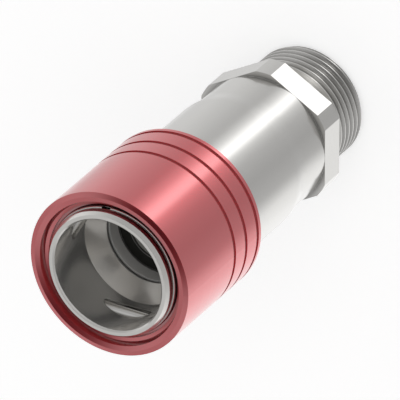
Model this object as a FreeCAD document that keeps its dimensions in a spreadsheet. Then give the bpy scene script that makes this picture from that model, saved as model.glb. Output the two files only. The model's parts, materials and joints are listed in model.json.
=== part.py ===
import FreeCAD, Part
import Sketcher
import math
import os
import re

# Pull-sleeve quick coupling, socket half, for a liquid cooling line.
# It stands on its threaded end: Z is the axis, up towards the mouth, and z = 0 is the thread's end face.

rollerCount = 3
gripCount = 3
flowHoleCount = 6

# driving dimensions in millimetres; a Fit or Play is the room left between two pieces
driving = {
    # port end
    "portRadius": 16.67,
    "portLength": 18.0,
    "portChamfer": 1.2,
    "reliefDepth": 1.47,
    "reliefWidth": 3.2,
    "portWall": 4.67,
    "boreChamfer": 0.8,
    # wrench hexagon with turned corners
    "hexShoulder": 2.38,
    "hexProud": 0.04,
    "hexCornerStep": 1.75,
    "hexHeight": 7.8,
    # body between the hexagon and the sleeve
    "neckStep": 1.0,
    "neckLength": 10.8,
    "taperLength": 5.2,
    "taperBlend": 15.0,
    "flangeStep": 1.5,
    "barrelLength": 27.4,
    "flangeHeight": 3.0,
    "holderLedge": 3.4,
    "flowDepth": 8.0,
    "flowTaper": 4.0,
    # nose, the socket for the plug
    "guideRadius": 12.3,
    "bushWall": 2.7,
    "spigotWall": 2.35,
    "spigotLength": 27.2,
    "spigotEdge": 0.6,
    "seatWidth": 1.1,
    "noseWall": 2.2,
    "noseLength": 36.8,
    "noseEdgeWidth": 0.8,
    "noseEdgeHeight": 1.0,
    "socketEdge": 0.45,
    "socketGuide": 8.1,
    "socketRelief": 0.15,
    "socketDepth": 16.4,
    "throatStep": 0.6,
    "throatTaper": 5.6,
    "throatLip": 0.6,
    "threadFit": 0.05,
    # locking rollers, lying across the socket in slots of the nose
    "rollerRadius": 2.4,
    "rollerLength": 16.0,
    "rollerEdge": 0.4,
    "rollerDepth": 10.8,
    "rollerBite": 1.5,
    "rollerClear": 0.05,
    "rollerFit": 0.05,
    # release sleeve
    "sleeveWall": 1.25,
    "sleeveLength": 39.5,
    "sleeveEdge": 0.4,
    "sleeveFit": 0.1,
    "sleeveStroke": 3.3,
    "gripWidth": 1.2,
    "gripDepth": 0.5,
    "gripPitch": 6.1,
    "gripOffset": 1.55,
    "noseProud": 0.8,
    "ridgeDrop": 0.4,
    "faceWidth": 1.4,
    "faceDrop": 0.35,
    "stepDepth": 2.05,
    "stepTaper": 0.6,
    "stepWidth": 0.95,
    "stepDrop": 0.35,
    "ringRoom": 1.15,
    "lipHeight": 1.0,
    "lipFit": 0.05,
    "landPlay": 0.05,
    "rampPlay": 0.08,
    "recessPlay": 0.276,
    "landHeight": 4.3,
    "seatLedge": 0.53,
    "seatThickness": 1.2,
    # snap ring of round wire that stops the sleeve
    "snapWireRadius": 0.6,
    "snapProud": 0.49,
    "snapDepth": 3.4,
    "snapFit": 0.03,
    "snapGap": 8.0,
    "snapGapPlace": 96.0,
    # guide bush that carries the valve sleeve and holds the plug's seal
    "bushLength": 14.1,
    "bushFit": 0.05,
    "rimRelief": 0.15,
    "rimWidth": 0.45,
    "rimHeight": 1.2,
    "sealRoom": 1.3,
    "cavityHeight": 1.8,
    "faceSink": 2.4,
    # sliding valve sleeve
    "valveFit": 0.05,
    "valveWall": 1.35,
    "valveLipWidth": 2.4,
    "valveLipHeight": 3.2,
    "valveLipTaper": 2.4,
    "valveEdge": 0.25,
    "valveFlangeWidth": 1.75,
    "valveFlangeHeight": 2.0,
    "valveTail": 6.0,
    # fixed poppet on its stem
    "poppetGap": 0.2,
    "poppetEdge": 0.3,
    "poppetHeight": 2.8,
    "poppetTaper": 3.2,
    "stemRadius": 3.5,
    "collarWidth": 1.5,
    "collarHeight": 3.0,
    "tailStep": 0.5,
    "tailFit": 0.05,
    "tailLength": 12.0,
    # perforated disc that holds the stem, with its washer and nut
    "holderThickness": 4.0,
    "holderFit": 0.1,
    "flowHoleRadius": 3.2,
    "flowHolePlace": 9.2,
    "washerRadius": 5.5,
    "washerThickness": 1.6,
    "nutAcross": 10.0,
    "nutHeight": 5.2,
    # springs of round wire, with closed ends ground flat
    "sleeveWireRadius": 0.9,
    "valveWireRadius": 0.75,
    "coilFit": 0.1,
    # grooves of the seal rings
    "sealFit": 0.02,
    "bodySealDepth": 1.1,
    "bodySealWidth": 1.9,
    "bodySealPlace": 3.0,
    "bushSealDepth": 1.2,
    "bushSealWidth": 1.9,
    "bushSealPlace": 7.6,
    "valveSealDepth": 1.45,
    "valveSealWidth": 1.9,
    "valveSealPlace": 5.4,
    "poppetSealDepth": 1.3,
    "poppetSealWidth": 1.6,
}

# sizes that follow from them
derived = {
    # radii from the valve outwards
    "valveRadius": "guideRadius - valveFit",
    "valveBoreRadius": "valveRadius - valveWall",
    "valveLipRadius": "valveBoreRadius - valveLipWidth",
    "valveFlangeRadius": "valveRadius + valveFlangeWidth",
    "poppetRadius": "valveLipRadius - poppetGap",
    "tailRadius": "stemRadius - tailStep",
    "bushRadius": "guideRadius + bushWall",
    "spigotBoreRadius": "bushRadius + bushFit",
    "spigotRadius": "spigotBoreRadius + spigotWall",
    "rearBoreRadius": "spigotRadius + threadFit",
    "flowRadius": "rearBoreRadius - holderLedge",
    "noseRadius": "spigotRadius + seatWidth",
    "socketRadius": "noseRadius - noseWall",
    "throatRadius": "guideRadius + throatStep",
    "rimInner": "throatRadius - rimRelief",
    "rimOuter": "rimInner + rimWidth",
    "cavityRadius": "rimOuter + sealRoom",
    "portBoreRadius": "portRadius - portWall",
    "reliefRadius": "portRadius - reliefDepth",
    # heights from the port's end face upwards
    "hexTop": "portLength + hexHeight",
    "neckTop": "hexTop + neckLength",
    "taperTop": "neckTop + taperLength",
    "flangeFoot": "taperTop + barrelLength",
    "seatLevel": "flangeFoot + flangeHeight",
    "noseTop": "seatLevel + noseLength",
    "spigotFoot": "seatLevel - spigotLength",
    "holderFoot": "spigotFoot - holderThickness",
    "flowFoot": "holderFoot - flowDepth",
    "washerFoot": "holderFoot - washerThickness",
    "nutFoot": "washerFoot - nutHeight",
    "socketFoot": "noseTop - socketDepth",
    "throatTop": "socketFoot - throatTaper",
    "throatFoot": "throatTop - throatLip",
    "bushTop": "throatFoot - cavityHeight",
    "bushFoot": "bushTop - bushLength",
    "valveFace": "bushTop - faceSink",
    "valveLipFoot": "valveFace - valveLipHeight",
    "valveFlangeFoot": "bushFoot - valveFlangeHeight",
    "rollerLevel": "noseTop - rollerDepth",
    "snapLevel": "noseTop - snapDepth",
    "sleeveTop": "noseTop - noseProud",
    "sleeveFoot": "sleeveTop - sleeveLength",
    "lipTop": "snapLevel - snapWireRadius",
    "lipFoot": "lipTop - lipHeight",
    # the rollers' way out, and the sleeve's ramp that follows a roller's end edge along it
    "rollerAxis": "socketRadius - rollerBite + rollerRadius",
    "rollerTravel": "rollerBite + rollerClear",
    "rollerReach": "rollerLength / 2 - rollerEdge",
    "rampSlope": "rollerTravel / sleeveStroke",
    "rampSlant": "sqrt(1 + rampSlope * rampSlope)",
    "restTouch": "rollerAxis + rollerRadius / rampSlant",
    "freeTouch": "restTouch + rollerTravel",
    "restEdge": "sqrt(restTouch * restTouch + rollerReach * rollerReach)",
    "freeEdge": "sqrt(freeTouch * freeTouch + rollerReach * rollerReach)",
    "rampRise": "(freeEdge - restEdge) / sleeveStroke",
    "rampLevel": "rollerLevel - rollerRadius * rampSlope / rampSlant",
    "rampRadius": "restEdge + rampPlay",
    "restOuter": "rollerAxis + rollerRadius",
    "freeOuter": "restOuter + rollerTravel",
    "landRadius": "sqrt(restOuter * restOuter + rollerReach * rollerReach) + landPlay",
    "recessRadius": "sqrt(freeOuter * freeOuter + rollerReach * rollerReach) + recessPlay",
    "landTop": "rampLevel + (landRadius - rampRadius) / rampRise",
    "rampTop": "rampLevel + (recessRadius - rampRadius) / rampRise",
    "landFoot": "landTop - landHeight",
    "springTop": "landFoot - seatThickness",
    "chamberRadius": "landRadius + seatLedge",
    "sleeveRadius": "recessRadius + sleeveWall",
    "ringRoomRadius": "noseRadius + ringRoom",
    "stepRadius": "ringRoomRadius + stepWidth",
    "faceRadius": "stepRadius + stepTaper",
    "ridgeRadius": "faceRadius + faceWidth",
    "flangeRadius": "chamberRadius - sleeveFit",
    "barrelRadius": "flangeRadius - flangeStep",
    "neckRadius": "barrelRadius - neckStep",
    "hexAcross": "2 * max(portRadius + hexShoulder; neckRadius + hexProud)",
    "hexCornerRadius": "hexAcross / 2 + hexCornerStep",
    "snapRadius": "noseRadius + snapProud - snapWireRadius",
    # springs run midway between the walls round them
    "sleeveCoilRadius": "(noseRadius + chamberRadius) / 2",
    "valveCoilRadius": "(valveRadius + spigotBoreRadius) / 2",
    # seal rings fill the room between a groove's floor and the wall across it
    "bodySealRadius": "(bodySealDepth + threadFit) / 2 - sealFit",
    "bodySealRing": "rearBoreRadius - sealFit - bodySealRadius",
    "bodySealTop": "seatLevel - bodySealPlace",
    "bodySealFoot": "bodySealTop - bodySealWidth",
    "bushSealRadius": "(bushSealDepth + bushFit) / 2 - sealFit",
    "bushSealRing": "spigotBoreRadius - sealFit - bushSealRadius",
    "bushSealFoot": "bushFoot + bushSealPlace",
    "bushSealTop": "bushSealFoot + bushSealWidth",
    "valveSealRadius": "(valveSealDepth + valveFit) / 2 - sealFit",
    "valveSealRing": "valveRadius + sealFit + valveSealRadius",
    "valveSealFoot": "bushFoot + valveSealPlace",
    "valveSealTop": "valveSealFoot + valveSealWidth",
    "poppetSealRadius": "(poppetSealDepth + poppetGap) / 2 - sealFit",
    "poppetSealRing": "valveLipRadius - sealFit - poppetSealRadius",
    "poppetSealMiddle": "valveFace - poppetHeight / 2",
    "poppetSealTop": "poppetSealMiddle + poppetSealWidth / 2",
    "poppetSealFoot": "poppetSealMiddle - poppetSealWidth / 2",
    "plugSealRadius": "sealRoom / 2 - sealFit",
    "plugSealRing": "rimOuter + sealRoom / 2",
}

doc = FreeCAD.newDocument("QuickCoupling")
sheet = doc.addObject("Spreadsheet::Sheet", "Sizes")
row = 0
for word, number in driving.items():
    row += 1
    sheet.set("A%d" % row, word)
    sheet.set("B%d" % row, str(number))
    sheet.setAlias("B%d" % row, word)
for word, formula in derived.items():
    row += 1
    sheet.set("A%d" % row, word)
    sheet.set("B%d" % row, "=" + formula)
    sheet.setAlias("B%d" % row, word)
doc.recompute()


def value(formula):
    """The number that a formula of sheet names comes to."""
    return float(sheet.evalExpression(formula))


def linked(formula):
    """The same formula as the other objects of the document write it."""
    return re.sub(r"\b(?!sqrt\b)([a-z]\w*)", r"Sizes.\1", formula)


def link(item, path, formula):
    item.setExpression(path, linked(formula))


# bodies, sketches and turned features
def newBody(label):
    body = doc.addObject("PartDesign::Body", label)
    body.Label = label
    return body


def originItem(body, role):
    return [item for item in body.Origin.OriginFeatures if item.Role == role][0]


def newSketch(body, name, role, level="0"):
    """A sketch on one of the body's own planes, raised along it to a level."""
    sketch = body.newObject("Sketcher::SketchObject", name)
    sketch.AttachmentSupport = [(originItem(body, role), "")]
    sketch.MapMode = "FlatFace"
    if level != "0":
        link(sketch, "AttachmentOffset.Base.z", level)
    return sketch


def dimension(sketch, kind, places, formula):
    index = sketch.addConstraint(Sketcher.Constraint(kind, *places, value(formula)))
    link(sketch, "Constraints[%d]" % index, formula)


def placePoint(sketch, line, end, across, up):
    """Holds a point at its distances across and up from the sketch's origin."""
    if across == "0":
        sketch.addConstraint(Sketcher.Constraint("PointOnObject", line, end, -2))
    else:
        dimension(sketch, "DistanceX", (-1, 1, line, end), across)
    if up == "0":
        sketch.addConstraint(Sketcher.Constraint("PointOnObject", line, end, -1))
    else:
        dimension(sketch, "DistanceY", (-1, 1, line, end), up)


def outline(sketch, corners):
    """A closed run of straight lines through (across, up) corners."""
    points = [FreeCAD.Vector(value(across), value(up), 0) for across, up in corners]
    lines = [Part.LineSegment(start, end) for start, end in zip(points, points[1:] + points[:1])]
    first = sketch.addGeometry(lines, False)[0]
    for index, (across, up) in enumerate(corners):
        previous = first + (index - 1) % len(corners)
        sketch.addConstraint(Sketcher.Constraint("Coincident", previous, 2, first + index, 1))
        placePoint(sketch, first + index, 1, across, up)


def circle(sketch, across, up, radius):
    centre = FreeCAD.Vector(value(across), value(up), 0)
    place = sketch.addGeometry(Part.Circle(centre, FreeCAD.Vector(0, 0, 1), value(radius)), False)
    placePoint(sketch, place, 3, across, up)
    dimension(sketch, "Radius", (place,), radius)


def hexagon(sketch, across):
    """A hexagon round the axis with flats square to the sketch's first direction."""
    half = "%s / 2" % across
    tip = "%s / sqrt(3)" % across
    side = "%s / sqrt(12)" % across
    outline(sketch, [
        (half, "-1 * " + side),
        (half, side),
        ("0", tip),
        ("-1 * " + half, side),
        ("-1 * " + half, "-1 * " + side),
        ("0", "-1 * " + tip),
    ])


def spin(body, name, sketch, kind="Revolution"):
    """Turns a sketch about the axis."""
    feature = body.newObject("PartDesign::" + kind, name)
    feature.Profile = sketch
    feature.ReferenceAxis = (sketch, ["V_Axis"])
    feature.Angle = 360
    return feature


def turned(body, name, corners, kind="Revolution"):
    """Turns an outline of (radius, height) corners about the axis."""
    sketch = newSketch(body, name + "Profile", "XZ_Plane")
    outline(sketch, corners)
    return spin(body, name, sketch, kind)


def raised(body, name, sketch, length, kind="Pad"):
    feature = body.newObject("PartDesign::" + kind, name)
    feature.Profile = sketch
    feature.Length = value(length)
    link(feature, "Length", length)
    return feature


def spread(body, name, feature, count):
    """Repeats a feature evenly round the axis."""
    pattern = body.newObject("PartDesign::PolarPattern", name)
    pattern.Originals = [feature]
    pattern.Axis = (originItem(body, "Z_Axis"), [""])
    pattern.Angle = 360
    pattern.Occurrences = count
    body.Tip = pattern


def roundEdges(feature, radius="", level=""):
    """The circular edges of a feature, all of them or those at one radius and height."""
    names = []
    for place, edge in enumerate(feature.Shape.Edges, start=1):
        if not isinstance(edge.Curve, Part.Circle):
            continue
        if radius and abs(edge.Curve.Radius - value(radius)) > 1e-4:
            continue
        if level and abs(edge.Curve.Center.z - value(level)) > 1e-4:
            continue
        names.append("Edge%d" % place)
    return names


def flatRing(label, inner, outer, foot, top):
    body = newBody(label)
    turned(body, label + "Ring", [(inner, foot), (outer, foot), (outer, top), (inner, top)])


def wireRing(label, ringRadius, level, wireRadius):
    """A ring of round section."""
    body = newBody(label)
    sketch = newSketch(body, label + "Section", "XZ_Plane")
    circle(sketch, ringRadius, level, wireRadius)
    return body, spin(body, label + "Ring", sketch)


def coilSpring(label, coilRadius, wireRadius, foot, top, turns):
    """A compression spring: a closed coil at each end, ground flat, and open coils between."""
    body = newBody(label)
    closed = "(%s * 2 + coilFit)" % wireRadius
    rise = "(%s - %s - %s * 2)" % (top, foot, closed)
    runs = [
        ("Foot", foot, closed, 1),
        ("Open", "(%s + %s)" % (foot, closed), rise, turns),
        ("Top", "(%s - %s)" % (top, closed), closed, 1),
    ]
    for name, start, height, count in runs:
        sketch = newSketch(body, label + name + "Section", "XZ_Plane")
        circle(sketch, coilRadius, start, wireRadius)
        coil = body.newObject("PartDesign::AdditiveHelix", label + name)
        coil.Profile = sketch
        coil.ReferenceAxis = (sketch, ["V_Axis"])
        coil.Mode = "height-turns-angle"
        coil.Turns = count
        coil.Height = value(height)
        link(coil, "Height", height)
    inner = "%s - %s * 2" % (coilRadius, wireRadius)
    outer = "%s + %s * 2" % (coilRadius, wireRadius)
    below = "%s - %s * 2" % (foot, wireRadius)
    above = "%s + %s * 2" % (top, wireRadius)
    turned(body, label + "FootCut", [(inner, below), (outer, below), (outer, foot), (inner, foot)], "Groove")
    turned(body, label + "TopCut", [(inner, top), (outer, top), (outer, above), (inner, above)], "Groove")


def makeRearBody():
    """Port thread's blank, hexagon, barrel, and the flange that carries the sleeve's spring."""
    body = newBody("rear_body")
    turned(body, "RearTurned", [
        ("portBoreRadius + boreChamfer", "0"),
        ("portRadius - portChamfer", "0"),
        ("portRadius", "portChamfer"),
        ("portRadius", "portLength - reliefWidth - reliefDepth"),
        ("reliefRadius", "portLength - reliefWidth"),
        ("reliefRadius", "portLength"),
        ("neckRadius", "portLength"),
        ("neckRadius", "neckTop"),
        ("barrelRadius", "taperTop"),
        ("barrelRadius", "flangeFoot"),
        ("flangeRadius", "flangeFoot"),
        ("flangeRadius", "seatLevel"),
        ("rearBoreRadius", "seatLevel"),
        ("rearBoreRadius", "holderFoot"),
        ("flowRadius", "holderFoot"),
        ("flowRadius", "flowFoot"),
        ("portBoreRadius", "flowFoot - flowTaper"),
        ("portBoreRadius", "boreChamfer"),
    ])
    sketch = newSketch(body, "HexagonSketch", "XY_Plane", "portLength")
    hexagon(sketch, "hexAcross")
    circle(sketch, "0", "0", "portBoreRadius")
    raised(body, "Hexagon", sketch, "hexHeight")
    corners = turned(body, "TurnedCorners", [
        ("hexCornerRadius", "portLength"),
        ("hexAcross", "portLength"),
        ("hexAcross", "hexTop"),
        ("hexCornerRadius", "hexTop"),
    ], "Groove")
    doc.recompute()
    blend = body.newObject("PartDesign::Fillet", "TaperBlend")
    bends = roundEdges(corners, "neckRadius", "neckTop") + roundEdges(corners, "barrelRadius", "taperTop")
    blend.Base = (corners, bends)
    link(blend, "Radius", "taperBlend")


def makeNoseBody():
    """Socket for the plug, slots for the rollers, and the spigot that screws into the rear body."""
    body = newBody("nose_body")
    turned(body, "NoseTurned", [
        ("spigotBoreRadius", "spigotFoot"),
        ("spigotRadius - spigotEdge", "spigotFoot"),
        ("spigotRadius", "spigotFoot + spigotEdge"),
        ("spigotRadius", "bodySealFoot"),
        ("spigotRadius - bodySealDepth", "bodySealFoot"),
        ("spigotRadius - bodySealDepth", "bodySealTop"),
        ("spigotRadius", "bodySealTop"),
        ("spigotRadius", "seatLevel"),
        ("noseRadius", "seatLevel"),
        ("noseRadius", "lipTop - snapFit"),
        ("snapRadius - snapWireRadius - snapFit", "lipTop - snapFit"),
        ("snapRadius - snapWireRadius - snapFit", "snapLevel + snapWireRadius + snapFit"),
        ("noseRadius", "snapLevel + snapWireRadius + snapFit"),
        ("noseRadius", "noseTop - noseEdgeHeight"),
        ("noseRadius - noseEdgeWidth", "noseTop"),
        ("socketRadius + socketEdge", "noseTop"),
        ("socketRadius", "noseTop - socketEdge"),
        ("socketRadius", "noseTop - socketGuide"),
        ("socketRadius + socketRelief", "socketFoot"),
        ("throatRadius", "throatTop"),
        ("throatRadius", "throatFoot"),
        ("cavityRadius", "throatFoot"),
        ("cavityRadius", "bushTop"),
        ("spigotBoreRadius", "bushTop"),
    ])
    # a slot is half round on its inner side and open to the outside
    sketch = newSketch(body, "SlotSketch", "YZ_Plane")
    centre = FreeCAD.Vector(-value("rollerAxis"), value("rollerLevel"), 0)
    radius = value("rollerRadius + rollerFit")
    up = FreeCAD.Vector(0, radius, 0)
    away = FreeCAD.Vector(-radius * 2, 0, 0)
    whole = Part.Circle(centre, FreeCAD.Vector(0, 0, 1), radius)
    sketch.addGeometry(Part.ArcOfCircle(whole, -math.pi / 2, math.pi / 2), False)
    sketch.addGeometry(Part.LineSegment(centre + up, centre + up + away), False)
    sketch.addGeometry(Part.LineSegment(centre + up + away, centre - up + away), False)
    sketch.addGeometry(Part.LineSegment(centre - up + away, centre - up), False)
    sketch.addConstraint(Sketcher.Constraint("Tangent", 0, 2, 1, 1))
    sketch.addConstraint(Sketcher.Constraint("Coincident", 1, 2, 2, 1))
    sketch.addConstraint(Sketcher.Constraint("Coincident", 2, 2, 3, 1))
    sketch.addConstraint(Sketcher.Constraint("Tangent", 3, 2, 0, 1))
    sketch.addConstraint(Sketcher.Constraint("Horizontal", 1))
    sketch.addConstraint(Sketcher.Constraint("Vertical", 2))
    placePoint(sketch, 0, 3, "-1 * rollerAxis", "rollerLevel")
    dimension(sketch, "Radius", (0,), "rollerRadius + rollerFit")
    dimension(sketch, "DistanceX", (-1, 1, 2, 1), "-1 * rollerAxis - 2 * rollerRadius")
    slot = raised(body, "RollerSlot", sketch, "rollerLength + rollerFit * 2", "Pocket")
    slot.Midplane = True
    spread(body, "RollerSlots", slot, rollerCount)


def makeRoller(index):
    """A locking roller: a straight pin lying across the socket."""
    body = newBody("locking_roller_%d" % (index + 1))
    sketch = newSketch(body, "RollerSketch%d" % index, "YZ_Plane")
    circle(sketch, "-1 * rollerAxis", "rollerLevel", "rollerRadius")
    pin = raised(body, "RollerPin%d" % index, sketch, "rollerLength")
    pin.Midplane = True
    doc.recompute()
    bevel = body.newObject("PartDesign::Chamfer", "RollerBevel%d" % index)
    bevel.Base = (pin, roundEdges(pin))
    link(bevel, "Size", "rollerEdge")
    turn = FreeCAD.Rotation(FreeCAD.Vector(0, 0, 1), 360.0 / rollerCount * index)
    body.Placement = FreeCAD.Placement(FreeCAD.Vector(), turn)


def makeReleaseSleeve():
    """Grip grooves outside; lip, recess, ramp, land and the spring's chamber inside."""
    corners = [
        ("chamberRadius + sleeveEdge", "sleeveFoot"),
        ("sleeveRadius - sleeveEdge", "sleeveFoot"),
        ("sleeveRadius", "sleeveFoot + sleeveEdge"),
    ]
    for index in range(gripCount):
        low = "sleeveFoot + gripOffset + gripPitch * %d" % index
        corners += [
            ("sleeveRadius", low),
            ("sleeveRadius - gripDepth", low),
            ("sleeveRadius - gripDepth", low + " + gripWidth"),
            ("sleeveRadius", low + " + gripWidth"),
        ]
    corners += [
        ("sleeveRadius", "sleeveTop - ridgeDrop"),
        ("ridgeRadius", "sleeveTop"),
        ("faceRadius", "sleeveTop - faceDrop"),
        ("stepRadius", "sleeveTop - stepDepth"),
        ("ringRoomRadius", "sleeveTop - stepDepth - stepDrop"),
        ("ringRoomRadius", "lipTop"),
        ("noseRadius + lipFit", "lipTop"),
        ("noseRadius + lipFit", "lipFoot"),
        ("recessRadius", "lipFoot"),
        ("recessRadius", "rampTop"),
        ("landRadius", "landTop"),
        ("landRadius", "landFoot"),
        ("chamberRadius", "landFoot"),
        ("chamberRadius", "sleeveFoot + sleeveEdge"),
    ]
    turned(newBody("release_sleeve"), "SleeveTurned", corners)


def makeSnapRing():
    """A split ring of wire in the nose's outer groove."""
    body, ring = wireRing("snap_ring", "snapRadius", "snapLevel", "snapWireRadius")
    link(ring, "Angle", "360 - snapGap")
    turn = FreeCAD.Rotation(FreeCAD.Vector(0, 0, 1), value("snapGapPlace + snapGap / 2"))
    body.Placement = FreeCAD.Placement(FreeCAD.Vector(), turn)
    link(body, "Placement.Rotation.Angle", "snapGapPlace + snapGap / 2")


def makeGuideBush():
    """Bush in the spigot's bore: it guides the valve sleeve, and its rim holds the plug's seal."""
    turned(newBody("guide_bush"), "BushTurned", [
        ("guideRadius", "bushFoot"),
        ("bushRadius", "bushFoot"),
        ("bushRadius", "bushSealFoot"),
        ("bushRadius - bushSealDepth", "bushSealFoot"),
        ("bushRadius - bushSealDepth", "bushSealTop"),
        ("bushRadius", "bushSealTop"),
        ("bushRadius", "bushTop"),
        ("rimOuter", "bushTop"),
        ("rimOuter", "bushTop + rimHeight"),
        ("rimInner", "bushTop + rimHeight"),
        ("guideRadius", "valveFace"),
        ("guideRadius", "valveSealTop"),
        ("guideRadius + valveSealDepth", "valveSealTop"),
        ("guideRadius + valveSealDepth", "valveSealFoot"),
        ("guideRadius", "valveSealFoot"),
    ])


def makeValveSleeve():
    """Valve sleeve: a plug pushes its face down, away from the poppet."""
    turned(newBody("valve_sleeve"), "ValveTurned", [
        ("valveBoreRadius", "valveFlangeFoot - valveTail"),
        ("valveRadius", "valveFlangeFoot - valveTail"),
        ("valveRadius", "valveFlangeFoot"),
        ("valveFlangeRadius", "valveFlangeFoot"),
        ("valveFlangeRadius", "bushFoot"),
        ("valveRadius", "bushFoot"),
        ("valveRadius", "valveFace - valveEdge"),
        ("valveRadius - valveEdge", "valveFace"),
        ("valveLipRadius + valveEdge", "valveFace"),
        ("valveLipRadius", "valveFace - valveEdge"),
        ("valveLipRadius", "valveLipFoot"),
        ("valveBoreRadius", "valveLipFoot - valveLipTaper"),
    ])


def makePoppet():
    """Fixed poppet: its face lies flush with the closed valve sleeve's."""
    turned(newBody("poppet"), "PoppetTurned", [
        ("0", "valveFace"),
        ("poppetRadius - poppetEdge", "valveFace"),
        ("poppetRadius", "valveFace - poppetEdge"),
        ("poppetRadius", "poppetSealTop"),
        ("poppetRadius - poppetSealDepth", "poppetSealTop"),
        ("poppetRadius - poppetSealDepth", "poppetSealFoot"),
        ("poppetRadius", "poppetSealFoot"),
        ("poppetRadius", "valveFace - poppetHeight"),
        ("stemRadius", "valveFace - poppetHeight - poppetTaper"),
        ("stemRadius", "spigotFoot + collarHeight"),
        ("stemRadius + collarWidth", "spigotFoot + collarHeight"),
        ("stemRadius + collarWidth", "spigotFoot"),
        ("tailRadius", "spigotFoot"),
        ("tailRadius", "spigotFoot - tailLength"),
        ("0", "spigotFoot - tailLength"),
    ])


def makeStemHolder():
    """Perforated disc clamped between the spigot and the rear body's shoulder."""
    body = newBody("stem_holder")
    turned(body, "HolderTurned", [
        ("tailRadius + tailFit", "holderFoot"),
        ("rearBoreRadius - holderFit", "holderFoot"),
        ("rearBoreRadius - holderFit", "spigotFoot"),
        ("tailRadius + tailFit", "spigotFoot"),
    ])
    sketch = newSketch(body, "FlowHoleSketch", "XY_Plane", "spigotFoot")
    circle(sketch, "flowHolePlace", "0", "flowHoleRadius")
    hole = raised(body, "FlowHole", sketch, "holderThickness", "Pocket")
    spread(body, "FlowHoles", hole, flowHoleCount)


def makeStemNut():
    body = newBody("stem_nut")
    sketch = newSketch(body, "NutSketch", "XY_Plane", "nutFoot")
    hexagon(sketch, "nutAcross")
    circle(sketch, "0", "0", "tailRadius + tailFit")
    raised(body, "NutHexagon", sketch, "nutHeight")


makeRearBody()
makeNoseBody()
for index in range(rollerCount):
    makeRoller(index)
makeReleaseSleeve()
makeSnapRing()
flatRing("spring_seat", "noseRadius + sleeveFit", "chamberRadius - sleeveFit", "springTop", "landFoot")
coilSpring("sleeve_spring", "sleeveCoilRadius", "sleeveWireRadius", "seatLevel", "springTop", 3)
makeGuideBush()
makeValveSleeve()
coilSpring("valve_spring", "valveCoilRadius", "valveWireRadius", "spigotFoot", "valveFlangeFoot", 4)
makePoppet()
makeStemHolder()
flatRing("stem_washer", "tailRadius + tailFit", "washerRadius", "washerFoot", "holderFoot")
makeStemNut()
wireRing("body_seal", "bodySealRing", "(bodySealTop + bodySealFoot) / 2", "bodySealRadius")
wireRing("bush_seal", "bushSealRing", "(bushSealTop + bushSealFoot) / 2", "bushSealRadius")
wireRing("valve_seal", "valveSealRing", "(valveSealTop + valveSealFoot) / 2", "valveSealRadius")
wireRing("poppet_seal", "poppetSealRing", "poppetSealMiddle", "poppetSealRadius")
wireRing("plug_seal", "plugSealRing", "(throatFoot + bushTop) / 2", "plugSealRadius")
doc.recompute()

# every object is sound before anything is written
for item in doc.Objects:
    if "Invalid" in item.State or "Error" in item.State:
        raise RuntimeError("%s did not build: %s" % (item.Label, item.State))

os.makedirs("parts", exist_ok=True)
for body in doc.findObjects("PartDesign::Body"):
    shape = body.Shape
    if shape.isNull() or not shape.isValid() or not shape.Solids:
        raise RuntimeError("%s has no sound solid" % body.Label)
    shape.exportStep("parts/%s.step" % body.Label)
    box = shape.optimalBoundingBox(False, False)
    facts = (body.Label, len(shape.Solids), shape.Volume, box.ZMin, box.ZMax)
    print("%-18s solids %d  volume %9.1f  z %.2f to %.2f" % facts)
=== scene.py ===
import bmesh
import bpy
import json
from math import hypot, pi
from mathutils import Matrix, Vector


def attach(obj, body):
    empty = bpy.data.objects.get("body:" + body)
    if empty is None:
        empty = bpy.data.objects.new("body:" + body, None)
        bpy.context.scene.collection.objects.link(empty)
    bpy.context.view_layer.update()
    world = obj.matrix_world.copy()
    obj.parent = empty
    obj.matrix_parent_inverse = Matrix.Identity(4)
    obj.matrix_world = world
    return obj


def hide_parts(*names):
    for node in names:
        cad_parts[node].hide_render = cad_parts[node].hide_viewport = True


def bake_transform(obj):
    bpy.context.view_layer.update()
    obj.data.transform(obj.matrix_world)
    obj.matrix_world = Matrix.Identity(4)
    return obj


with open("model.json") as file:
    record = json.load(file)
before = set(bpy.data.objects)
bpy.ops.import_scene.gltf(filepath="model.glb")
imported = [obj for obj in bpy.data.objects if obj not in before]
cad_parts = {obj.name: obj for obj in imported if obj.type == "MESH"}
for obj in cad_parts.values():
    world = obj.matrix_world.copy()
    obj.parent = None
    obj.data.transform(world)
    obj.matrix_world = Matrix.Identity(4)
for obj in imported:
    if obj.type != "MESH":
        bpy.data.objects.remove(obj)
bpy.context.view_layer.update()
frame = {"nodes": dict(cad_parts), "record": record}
nodes = frame["nodes"]
print("frame loaded:", len(nodes), "nodes")


# materials
def newMaterial(name):
    material = bpy.data.materials.new(name)
    material.use_nodes = True
    tree = material.node_tree
    return material, tree, tree.nodes["Principled BSDF"]


def addNode(tree, kind, **settings):
    node = tree.nodes.new(kind)
    for key, setting in settings.items():
        setattr(node, key, setting)
    return node


def turnedVector(tree, fineness):  # distance from the axis and height, so that noise runs in rings
    place = addNode(tree, "ShaderNodeTexCoord")
    flat = addNode(tree, "ShaderNodeVectorMath", operation="MULTIPLY")
    flat.inputs[1].default_value = (1, 1, 0)
    radius = addNode(tree, "ShaderNodeVectorMath", operation="LENGTH")
    parts = addNode(tree, "ShaderNodeSeparateXYZ")
    pair = addNode(tree, "ShaderNodeCombineXYZ")
    scaled = addNode(tree, "ShaderNodeVectorMath", operation="SCALE")
    scaled.inputs["Scale"].default_value = fineness
    link = tree.links.new
    link(place.outputs["Object"], flat.inputs[0])
    link(place.outputs["Object"], parts.inputs[0])
    link(flat.outputs[0], radius.inputs[0])
    link(radius.outputs["Value"], pair.inputs["X"])
    link(parts.outputs["Z"], pair.inputs["Y"])
    link(pair.outputs[0], scaled.inputs[0])
    return place, radius, scaled.outputs[0]


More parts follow.
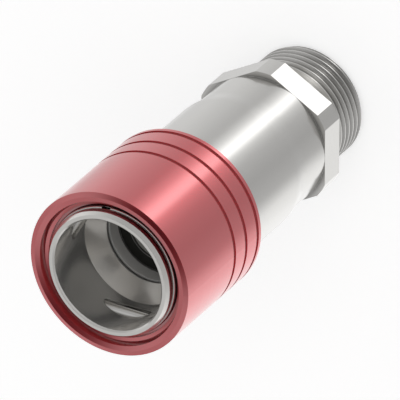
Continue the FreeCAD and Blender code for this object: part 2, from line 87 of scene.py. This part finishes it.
def mapRange(tree, source, span, result=(0, 1)):
    node = addNode(tree, "ShaderNodeMapRange")
    for socket, number in zip(("From Min", "From Max", "To Min", "To Max"), span + result):
        node.inputs[socket].default_value = number
    tree.links.new(source, node.inputs["Value"])
    return node.outputs["Result"]


def noise(tree, vector, scale, detail, **settings):
    node = addNode(tree, "ShaderNodeTexNoise", **settings)
    node.inputs["Scale"].default_value = scale
    node.inputs["Detail"].default_value = detail
    tree.links.new(vector, node.inputs["Vector"])
    return node.outputs["Fac"]


def bumped(tree, height, strength, distance):
    node = addNode(tree, "ShaderNodeBump")
    node.inputs["Strength"].default_value = strength
    node.inputs["Distance"].default_value = distance
    tree.links.new(height, node.inputs["Height"])
    return node


surface = {
    "glossSpan": (0.3, 0.7),  # noise from the smoothest to the roughest spots
    "paintedEdgeSpan": (0.995, 0.93),  # rounded normal against the face's own, from plain face to a painted edge tone, a painted highlight on steel edges
    "shadeSpan": (0.35, 0.85),  # painted shade by how open a place is, from full shade at a thread root to none on an open face
    "boreBlend": 0.0001, "marksDepth": 0.00002, "grainDepth": 0.00005, "samples": 6,
    "marksDetail": 3, "blotchDetail": 4, "grainDetail": 2,
}


def gloss(tree, place, marks, look):  # ring marks and slow blotches
    blotches = noise(tree, place.outputs["Object"], look["blotchesPerMetre"], surface["blotchDetail"])
    blend = addNode(tree, "ShaderNodeMix")
    blend.inputs["Factor"].default_value = look["blotchShare"]
    tree.links.new(marks, blend.inputs["A"])
    tree.links.new(blotches, blend.inputs["B"])
    return mapRange(tree, blend.outputs["Result"], surface["glossSpan"], (look["smooth"], look["rough"]))


def colour(tree, edge, look):  # painted shade in grooves, thread roots and recesses, and a painted edge tone on broken edges, mostly a painted highlight
    link = tree.links.new
    # painted shade: occlusion within a short reach mixes the colour toward a dark painted shade colour
    occlusionShade = addNode(tree, "ShaderNodeAmbientOcclusion", samples=surface["samples"])
    occlusionShade.inputs["Distance"].default_value = look["occlusionShade"]
    shadedBase = addNode(tree, "ShaderNodeMix", data_type="RGBA")
    shadedBase.inputs["A"].default_value = look["paintedShadeColour"] + (1,)
    shadedBase.inputs["B"].default_value = look["colour"] + (1,)
    facing = addNode(tree, "ShaderNodeNewGeometry")
    bend = addNode(tree, "ShaderNodeVectorMath", operation="DOT_PRODUCT")
    # painted highlight: where the rounded normal bends away from the face, the edge takes a lighter painted
    # edge colour
    paintedEdge = addNode(tree, "ShaderNodeMix", data_type="RGBA")
    paintedEdge.inputs["B"].default_value = look["paintedEdgeColour"] + (1,)
    link(mapRange(tree, occlusionShade.outputs["AO"], surface["shadeSpan"]), shadedBase.inputs["Factor"])
    link(edge.outputs["Normal"], bend.inputs[0])
    link(facing.outputs["Normal"], bend.inputs[1])
    link(mapRange(tree, bend.outputs["Value"], surface["paintedEdgeSpan"]), paintedEdge.inputs["Factor"])
    link(shadedBase.outputs["Result"], paintedEdge.inputs["A"])
    return paintedEdge.outputs["Result"]


def metal(name, look):
    material, tree, shader = newMaterial(name)
    link = tree.links.new
    shader.inputs["Coat Weight"].default_value = look["coat"]
    shader.inputs["Coat Roughness"].default_value = look["coatRoughness"]
    shader.inputs["Coat IOR"].default_value = look["coatIor"]
    place, radius, rings = turnedVector(tree, look["ringsPerMetre"])
    boreSpan = (look["boreRadius"], look["boreRadius"] + surface["boreBlend"])  # duller inside this
    bore = mapRange(tree, radius.outputs["Value"], boreSpan, (look["boreMetallic"], 1))
    marks = noise(tree, rings, 1, surface["marksDetail"], noise_dimensions="2D")
    edge = addNode(tree, "ShaderNodeBevel", samples=surface["samples"])
    edge.inputs["Radius"].default_value = look["edge"]
    relief = bumped(tree, marks, look["relief"], surface["marksDepth"])
    link(bore, shader.inputs["Metallic"])
    link(gloss(tree, place, marks, look), shader.inputs["Roughness"])
    link(colour(tree, edge, look), shader.inputs["Base Color"])
    link(edge.outputs["Normal"], relief.inputs["Normal"])
    link(relief.outputs["Normal"], shader.inputs["Normal"])
    return material


def rubber(name, look):
    material, tree, shader = newMaterial(name)
    shader.inputs["Base Color"].default_value = look["colour"] + (1,)
    shader.inputs["Roughness"].default_value = look["roughness"]
    place = addNode(tree, "ShaderNodeTexCoord")
    grain = noise(tree, place.outputs["Object"], look["grainPerMetre"], surface["grainDetail"])
    relief = bumped(tree, grain, look["relief"], surface["grainDepth"])
    tree.links.new(relief.outputs["Normal"], shader.inputs["Normal"])
    return material


turnedSteel = {
    # the edge colour is a painted highlight on broken edges
    "colour": (0.72, 0.71, 0.69), "paintedEdgeColour": (0.80, 0.79, 0.77), "edge": 0.00016,
    # painted shade: the dark colour that occlusion brings into grooves and roots, and how far the occlusion
    # reaches
    "paintedShadeColour": (0.05, 0.048, 0.045), "occlusionShade": 0.0016,
    "boreRadius": 0.0, "boreMetallic": 1.0,
    "coat": 0.0, "coatRoughness": 0.1, "coatIor": 1.5,
    "smooth": 0.17, "rough": 0.24, "ringsPerMetre": 3000, "relief": 0.012,
    "blotchesPerMetre": 60, "blotchShare": 0.5,
}
looks = {
    "body_steel": turnedSteel,
    # lighter painted shade with a longer reach, darkening the thread and the relief beside the hexagon
    "port_steel": {**turnedSteel, "paintedShadeColour": (0.17, 0.167, 0.16), "occlusionShade": 0.0028, "edge": 0.00012},
    # a slightly lighter steel colour, painted light inside the bore
    "bore_steel_painted_light": {
        **turnedSteel, "colour": (0.76, 0.745, 0.72), "boreRadius": 0.0166, "boreMetallic": 0.8,
        "smooth": 0.12, "rough": 0.19, "relief": 0.01, "blotchShare": 0.85,
    },
    "bush_steel": {
        **turnedSteel, "boreRadius": 0.0166, "boreMetallic": 0.4, "occlusionShade": 0.0006,
        "smooth": 0.12, "rough": 0.19, "relief": 0.01, "blotchShare": 0.85,
    },
    # a near-black steel colour: painted shade at the bottom of the bore, with a painted highlight ring on
    # its edges
    "valve_steel": {
        **turnedSteel, "colour": (0.035, 0.035, 0.032), "paintedEdgeColour": (0.75, 0.74, 0.72),
        "paintedShadeColour": (0.02, 0.02, 0.018), "edge": 0.00025,
        "smooth": 0.3, "rough": 0.42,
    },
    # a darker steel colour: painted shade at the bottom of the bore, with a painted highlight ring on its
    # edge
    "poppet_steel_painted_shade": {
        **turnedSteel, "colour": (0.38, 0.375, 0.36), "paintedEdgeColour": (0.8, 0.79, 0.77),
        "paintedShadeColour": (0.05, 0.05, 0.047), "edge": 0.0003, "smooth": 0.3, "rough": 0.42,
    },
    "red_anodised": {
        **turnedSteel, "colour": (0.71, 0.03, 0.045), "paintedEdgeColour": (0.66, 0.04, 0.055),
        # painted shade: deep red in the sleeve's grooves and front recess
        "paintedShadeColour": (0.22, 0.002, 0.008), "edge": 0.0001, "occlusionShade": 0.0008,
        "coat": 1.0, "coatRoughness": 0.15, "coatIor": 2.6,
        "smooth": 0.28, "rough": 0.36, "ringsPerMetre": 3600, "relief": 0.02,
    },
    "spring_wire": {**turnedSteel, "colour": (0.74, 0.73, 0.71), "smooth": 0.2, "rough": 0.3},
    "roller_steel": {**turnedSteel, "colour": (0.70, 0.69, 0.67), "smooth": 0.08, "rough": 0.15},
}
materials = {slotName: metal(slotName, look) for slotName, look in looks.items()}
sealRubber = {"colour": (0.018,) * 3, "roughness": 0.5, "grainPerMetre": 2500, "relief": 0.2}
materials["seal_rubber"] = rubber("seal_rubber", sealRubber)
for part in frame["record"]["subparts"]:
    for materialSlot in nodes[part["node"]].material_slots:
        materialSlot.material = materials[part["material_slot"]]
ownLooks = {"nose_body": "bore_steel_painted_light", "guide_bush": "bush_steel", "poppet": "poppet_steel_painted_shade"}
for nodeName, lookName in ownLooks.items():
    nodes[nodeName].material_slots[0].material = materials[lookName]
print("materials made:", len(materials))


# port thread, on a copy of the rear body without its plain blank
thread = {
    "crest": 0.01667, "pitch": 0.002117, "depth": 0.00115,
    "foot": 0.0, "footRadius": 0.01547,  # where the end chamfer starts
    "head": 0.0148, "headRadius": 0.0152,  # where the thread runs out into the relief
    "stepsPerTurn": 96, "stepsPerEdge": 4, "turnsBelow": 1.7, "turnsSpare": 4,
    # one turn's section, by share of the pitch
    "section": ((0, "root"), (0.12, "root"), (0.44, "crest"), (0.56, "crest"), (0.88, "root"), (1, "root")),
    "hexagonTop": 0.0262,  # faces up to here are merged where they are level
    "levelAngle": 0.002, "sharpAngle": 0.3,  # in radians
    "normalWeight": 100,
    "pointGap": 1e-7, "seamGap": 1e-6, "slack": 1e-5,  # how far apart points that belong together may lie
}


def threadProfile(bm):  # flank, narrow crest, flank
    radii = {"root": thread["crest"] - thread["depth"], "crest": thread["crest"]}
    verts = [bm.verts.new((radii[level], 0, share * thread["pitch"])) for share, level in thread["section"]]
    edges = [bm.edges.new(pair) for pair in zip(verts, verts[1:])]
    bmesh.ops.subdivide_edges(bm, edges=edges, cuts=thread["stepsPerEdge"] - 1)


def makeThread():
    bm = bmesh.new()
    threadProfile(bm)
    turns = int((thread["head"] - thread["foot"]) / thread["pitch"]) + thread["turnsSpare"]
    steps = turns * thread["stepsPerTurn"]
    bmesh.ops.spin(
        bm, geom=bm.verts[:] + bm.edges[:], cent=(0, 0, 0), axis=(0, 0, 1),
        dvec=(0, 0, thread["pitch"] / thread["stepsPerTurn"]), angle=2 * pi * turns, steps=steps,
    )
    start = thread["foot"] - thread["turnsBelow"] * thread["pitch"]
    bmesh.ops.translate(bm, verts=bm.verts, vec=(0, 0, start))
    bmesh.ops.remove_doubles(bm, verts=bm.verts, dist=thread["seamGap"])
    for height, side in ((thread["foot"], -1), (thread["head"], 1)):
        bmesh.ops.bisect_plane(
            bm, geom=bm.verts[:] + bm.edges[:] + bm.faces[:], dist=thread["pointGap"],
            plane_co=(0, 0, height), plane_no=(0, 0, side), clear_outer=True,
        )
    for vert in bm.verts:  # chamfer at the foot, run-out at the head
        radius = hypot(vert.co.x, vert.co.y)
        low = thread["footRadius"] + vert.co.z - thread["foot"]
        high = thread["headRadius"] + thread["head"] - vert.co.z
        share = min(radius, low, high) / radius
        vert.co.x *= share
        vert.co.y *= share
    bmesh.ops.recalc_face_normals(bm, faces=bm.faces)
    if sum(face.normal.dot(face.calc_center_median() * Vector((1, 1, 0))) for face in bm.faces) < 0:
        bmesh.ops.reverse_faces(bm, faces=bm.faces)
    return bm


def makeRearBody():
    bm = bmesh.new()
    bm.from_mesh(nodes["rear_body"].data)
    bmesh.ops.remove_doubles(bm, verts=bm.verts, dist=thread["pointGap"])
    blank = [
        face for face in bm.faces
        if face.calc_center_median().z < thread["head"]
        and min(hypot(vert.co.x, vert.co.y) for vert in face.verts) > thread["headRadius"] - thread["slack"]
        and max(vert.co.z for vert in face.verts) > thread["foot"] + thread["slack"]
    ]
    bmesh.ops.delete(bm, geom=blank, context="FACES")
    lowVerts = [vert for vert in bm.verts if vert.co.z < thread["hexagonTop"]]
    lowEdges = [edge for edge in bm.edges if all(vert.co.z < thread["hexagonTop"] for vert in edge.verts)]
    bmesh.ops.dissolve_limit(bm, angle_limit=thread["levelAngle"], verts=lowVerts, edges=lowEdges)
    helix = makeThread()
    threadMesh = bpy.data.meshes.new("thread")
    helix.to_mesh(threadMesh)
    helix.free()
    bm.from_mesh(threadMesh)
    mesh = bpy.data.meshes.new("threaded_rear_body")
    bm.to_mesh(mesh)
    bm.free()
    mesh.shade_smooth()
    mesh.set_sharp_from_angle(angle=thread["sharpAngle"])
    mesh.materials.clear()
    mesh.materials.append(materials["port_steel"])
    piece = bpy.data.objects.new("threaded_rear_body", mesh)
    bpy.context.scene.collection.objects.link(piece)
    normals = piece.modifiers.new("normals", "WEIGHTED_NORMAL")  # long walls keep their own direction
    normals.mode = "FACE_AREA"
    normals.weight = thread["normalWeight"]
    normals.keep_sharp = True
    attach(piece, "housing")
    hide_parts("rear_body")
    return piece


rearBody = makeRearBody()
print("rear body with its thread:", len(rearBody.data.polygons), "faces")


# springs as separate copies in spring wire, the parts they stand for hidden
def makeSpring(name):
    node = nodes[name]
    mesh = node.data.copy()
    mesh.transform(node.matrix_world)
    mesh.materials.clear()
    mesh.materials.append(materials["spring_wire"])
    piece = bpy.data.objects.new("flexing_" + name, mesh)
    bpy.context.scene.collection.objects.link(piece)
    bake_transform(piece)
    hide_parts(name)
    return piece


movers = {"sleeve_spring": "spring_seat_carrier", "valve_spring": "valve"}
springs = [makeSpring(name) for name, mover in movers.items()]
print("springs made:", len(springs))


# floor, room and lamp
studio = {
    "floorSize": 12.0, "floorDrop": 0.00002, "floorColour": 0.85, "floorGlow": 0.52,
    # how bright the room is below the horizon, by angle in degrees about a line off the middle, so
    # that upright walls, cones and thread flanks that face one way show one tone
    "wallCentre": (-0.432, -0.497, 0),
    "walls": [
        (-180, 0.9), (-150, 0.5), (-125, 0.9), (-115, 1.5), (-105, 0.9), (-80, 0.5), (-60, 0.8),
        (-41, 1.0), (-30, 1.08), (-15, 1.13), (0, 1.02), (12.5, 0.55), (30, 0.46), (45, 0.55),
        (54.5, 0.8), (58, 1.85), (61.5, 1.75), (67.5, 0.9), (75, 0.54), (90, 0.68), (105, 0.77),
        (120, 0.74), (135, 0.95), (160, 0.75), (180, 0.9),
    ],
    # and from the horizon (0) to straight above (1)
    "ceiling": [
        (0.0, 0.95), (0.15, 0.8), (0.35, 0.45), (0.55, 0.42),
        (0.74, 0.68), (0.86, 0.58), (0.93, 0.06), (1.0, 0.0),
    ],
    "horizonBlend": 0.1, "roomStrength": 2,
    "lampPower": 9.0, "lampSize": 1.6, "lampPlace": (0.9, 0.9, 2.2), "lampTarget": (0, 0, 0.05),
}


def fillRamp(ramp, stops, interpolation):
    ramp.color_ramp.interpolation = interpolation
    while len(ramp.color_ramp.elements) < len(stops):
        ramp.color_ramp.elements.new(0.5)
    for element, (place, tone) in zip(ramp.color_ramp.elements, stops):
        element.position = place
    for element, (place, tone) in zip(ramp.color_ramp.elements, stops):
        element.color = (tone / studio["roomStrength"],) * 3 + (1,)  # the background lifts it again


def makeFloor():
    half = studio["floorSize"] / 2
    bm = bmesh.new()
    bmesh.ops.create_grid(bm, x_segments=1, y_segments=1, size=half)
    bmesh.ops.translate(bm, verts=bm.verts, vec=(0, 0, -studio["floorDrop"]))
    mesh = bpy.data.meshes.new("floor")
    bm.to_mesh(mesh)
    bm.free()
    material = bpy.data.materials.new("paleTable")
    material.use_nodes = True
    tree = material.node_tree
    tree.nodes.clear()
    link = tree.links.new
    rays = addNode(tree, "ShaderNodeLightPath")
    matt = addNode(tree, "ShaderNodeBsdfDiffuse")
    matt.inputs["Color"].default_value = (studio["floorColour"],) * 3 + (1,)
    glow = addNode(tree, "ShaderNodeEmission")
    glow.inputs["Strength"].default_value = studio["floorGlow"]
    lifted = addNode(tree, "ShaderNodeAddShader")
    seen = addNode(tree, "ShaderNodeMixShader")
    output = addNode(tree, "ShaderNodeOutputMaterial")
    link(matt.outputs[0], lifted.inputs[0])
    link(glow.outputs[0], lifted.inputs[1])
    link(rays.outputs["Is Camera Ray"], seen.inputs[0])
    link(matt.outputs[0], seen.inputs[1])
    link(lifted.outputs[0], seen.inputs[2])
    link(seen.outputs[0], output.inputs["Surface"])
    mesh.materials.append(material)
    floor = bpy.data.objects.new("floor", mesh)
    floor.visible_glossy = False  # the metal mirrors the room's walls, not the table
    bpy.context.scene.collection.objects.link(floor)


def makeRoom():
    world = bpy.data.worlds.new("room")
    bpy.context.scene.world = world
    world.cycles.sampling_method = "NONE"
    world.use_nodes = True
    tree = world.node_tree
    tree.nodes.clear()
    link = tree.links.new
    direction = addNode(tree, "ShaderNodeTexCoord")
    parts = addNode(tree, "ShaderNodeSeparateXYZ")
    shifted = addNode(tree, "ShaderNodeVectorMath", operation="SUBTRACT")
    shifted.inputs[1].default_value = studio["wallCentre"]
    around = addNode(tree, "ShaderNodeTexGradient", gradient_type="RADIAL")
    walls = addNode(tree, "ShaderNodeValToRGB")
    fillRamp(walls, [(angle / 360 + 0.5, tone) for angle, tone in studio["walls"]], "LINEAR")
    ceiling = addNode(tree, "ShaderNodeValToRGB")
    fillRamp(ceiling, studio["ceiling"], "B_SPLINE")
    above = mapRange(tree, parts.outputs["Z"], (-studio["horizonBlend"], studio["horizonBlend"]))
    tone = addNode(tree, "ShaderNodeMix", data_type="RGBA")
    rays = addNode(tree, "ShaderNodeLightPath")
    room = addNode(tree, "ShaderNodeBackground")
    room.inputs["Strength"].default_value = studio["roomStrength"]
    white = addNode(tree, "ShaderNodeBackground")
    white.inputs["Color"].default_value = (1, 1, 1, 1)
    seen = addNode(tree, "ShaderNodeMixShader")
    output = addNode(tree, "ShaderNodeOutputWorld")
    link(direction.outputs["Generated"], parts.inputs[0])
    link(direction.outputs["Generated"], shifted.inputs[0])
    link(shifted.outputs[0], around.inputs["Vector"])
    link(around.outputs["Fac"], walls.inputs["Fac"])
    link(parts.outputs["Z"], ceiling.inputs["Fac"])
    link(above, tone.inputs["Factor"])
    link(walls.outputs["Color"], tone.inputs["A"])
    link(ceiling.outputs["Color"], tone.inputs["B"])
    link(tone.outputs["Result"], room.inputs["Color"])
    link(rays.outputs["Is Camera Ray"], seen.inputs[0])
    link(room.outputs[0], seen.inputs[1])
    link(white.outputs[0], seen.inputs[2])
    link(seen.outputs[0], output.inputs["Surface"])


def makeLamp():
    light = bpy.data.lights.new("softbox", "AREA")
    light.energy = studio["lampPower"]
    light.size = studio["lampSize"]
    lamp = bpy.data.objects.new("softbox", light)
    lamp.location = studio["lampPlace"]
    lamp.rotation_euler = (Vector(studio["lampTarget"]) - lamp.location).to_track_quat("-Z", "Y").to_euler()
    lamp.visible_glossy = False
    bpy.context.scene.collection.objects.link(lamp)


makeFloor()
makeRoom()
makeLamp()
print("studio set up")


# camera at the photograph's angle, rolled as the coupling lies in it
view = {
    "target": (0, 0, 0.06229), "back": (0.4311, 0.4983, 0.7522), "right": (0.8676, 0.0, -0.4972),
    "distance": 3.830, "shiftRight": 0.00121, "shiftUp": -0.00019, "lens": 1296.0,
    "sensor": 36, "near": 0.1, "far": 40,
}


def makeCamera():
    back = Vector(view["back"]).normalized()
    right = Vector(view["right"]).normalized()
    up = back.cross(right)
    camera = bpy.data.cameras.new("camera")
    camera.lens = view["lens"]
    camera.sensor_width = view["sensor"]
    camera.clip_start = view["near"]
    camera.clip_end = view["far"]
    spot = Vector(view["target"]) + back * view["distance"]
    spot += right * view["shiftRight"] + up * view["shiftUp"]
    turn = Matrix((right, up, back)).transposed().to_4x4()
    holder = bpy.data.objects.new("camera", camera)
    holder.matrix_world = Matrix.Translation(spot) @ turn
    bpy.context.scene.collection.objects.link(holder)
    bpy.context.scene.camera = holder


makeCamera()
bpy.context.scene.view_settings.view_transform = "Standard"
print("camera set")
